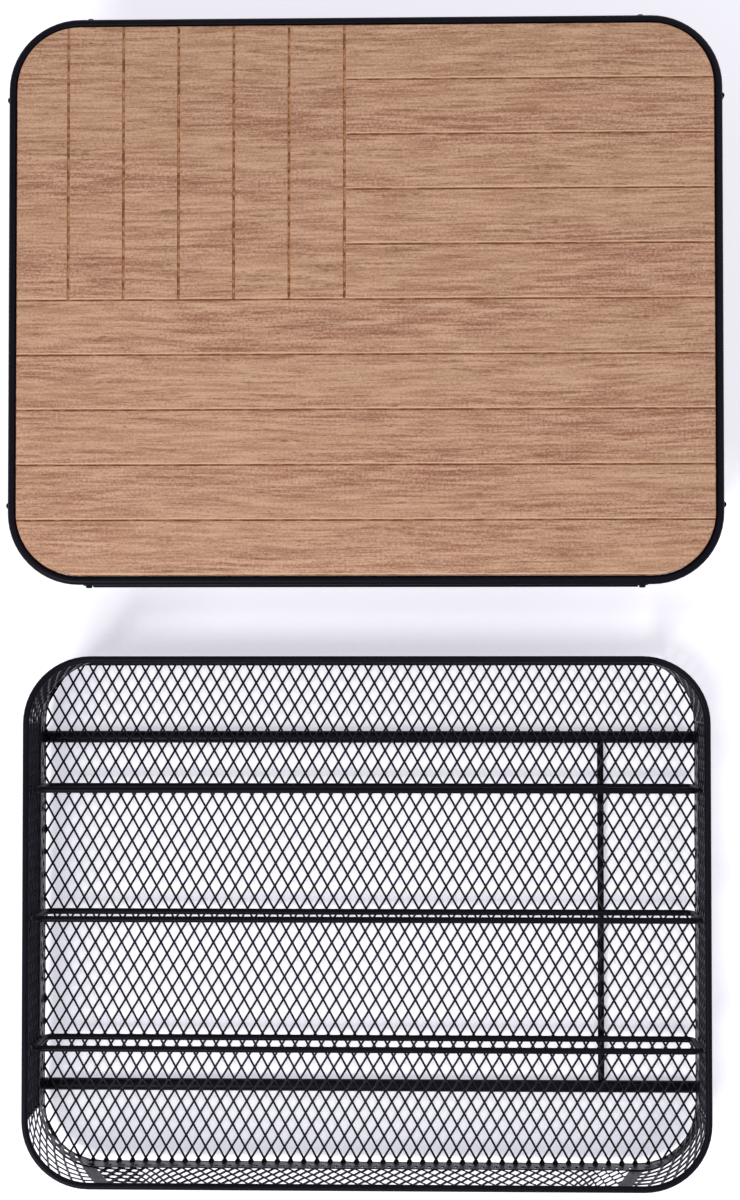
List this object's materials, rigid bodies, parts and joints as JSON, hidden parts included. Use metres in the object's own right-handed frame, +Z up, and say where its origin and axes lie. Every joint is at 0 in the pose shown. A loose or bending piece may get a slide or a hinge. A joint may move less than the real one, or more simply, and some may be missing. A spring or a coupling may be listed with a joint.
{
  "type": "coffee capsule drawer",
  "caption": "Wire stand with a grooved wood top and a pull-out black mesh drawer whose wire dividers part rows of coffee capsules; the drawer stands pulled out in front.",
  "frame": {"origin": "on the table, at the centre of the whole object's box with the drawer pulled out", "axes": "+Z up, +Y from the drawer's front to the stand's back, the way the drawer slides in, +X to the right seen from the drawer's front"},
  "size_m": [0.3164, 0.5177, 0.065],
  "materials": {
    "black_wire": "satin black powder coat on steel wire",
    "black_mesh": "satin black powder coat on expanded steel mesh",
    "oiled_wood": "matt light brown wood with burnt grooves",
    "plated_steel": "zinc plated"
  },
  "bodies": {
    "stand": {"top_ring": "black_wire", "wood_board": "oiled_wood", "board_wire_left": "black_wire", "board_wire_right": "black_wire", "cross_wire_front": "black_wire", "cross_wire_back": "black_wire", "side_frame_left": "black_wire", "side_frame_right": "black_wire", "front_rail": "black_wire", "back_stop": "black_wire", "board_tab_1": "black_wire", "board_tab_2": "black_wire", "board_tab_3": "black_wire", "board_tab_4": "black_wire", "tab_screw_1": "plated_steel", "tab_screw_2": "plated_steel", "tab_screw_3": "plated_steel", "tab_screw_4": "plated_steel"},
    "drawer": {"drawer_rim": "black_wire", "floor_mesh": "black_mesh", "wall_front": "black_mesh", "wall_back": "black_mesh", "wall_left": "black_mesh", "wall_right": "black_mesh", "corner_front_left": "black_mesh", "corner_front_right": "black_mesh", "corner_back_left": "black_mesh", "corner_back_right": "black_mesh", "divider_front": "black_wire", "divider_middle": "black_wire", "divider_back": "black_wire", "floor_rod_front": "black_wire", "floor_rod_back": "black_wire", "tie_rod": "black_wire"}
  },
  "joints": [
    {"name": "drawer_slide", "type": "slide", "parent": "stand", "child": "drawer", "axis": [0, 1, 0], "range_m": [0, 0.2738]}
  ]
}
